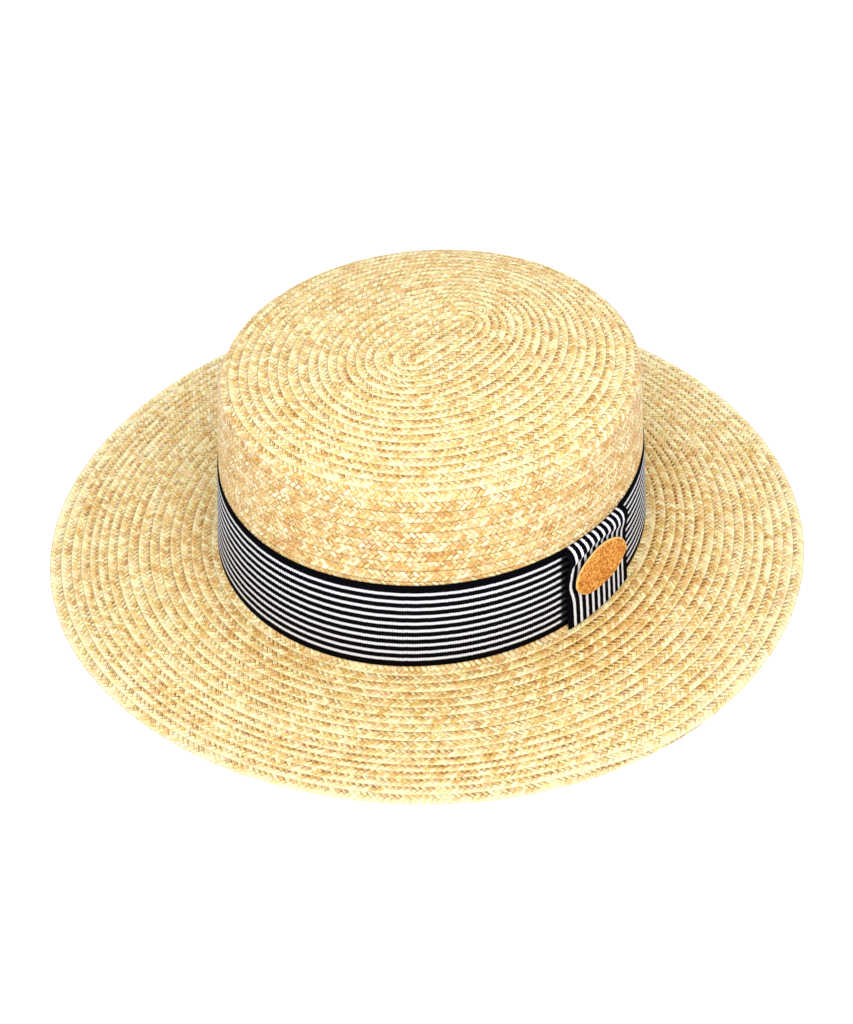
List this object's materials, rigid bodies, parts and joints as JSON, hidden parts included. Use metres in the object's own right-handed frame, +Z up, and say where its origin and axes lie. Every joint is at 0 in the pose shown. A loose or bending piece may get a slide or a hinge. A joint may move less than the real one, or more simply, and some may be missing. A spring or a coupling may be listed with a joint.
{
  "type": "straw boater hat",
  "caption": "Oval straw boater hat with a flat brim, a low flat-topped crown, a striped ribbon band and a ribbon loop with a leather oval.",
  "frame": {"origin": "middle of the brim's outline, on the surface that the hat rests on", "axes": "+Z up, the front of the hat towards -Y, the wearer's left with the loop towards +X"},
  "size_m": [0.3178, 0.3222, 0.0906],
  "materials": {
    "straw": "plaited wheat straw, satin",
    "striped_ribbon": "black and white striped ribbed ribbon, matt",
    "tan_leather": "fine grained, satin"
  },
  "bodies": {
    "root": {"crown": "straw", "brim": "straw", "ribbon_band": "striped_ribbon", "bow_loop": "striped_ribbon", "leather_patch": "tan_leather"}
  },
  "joints": []
}
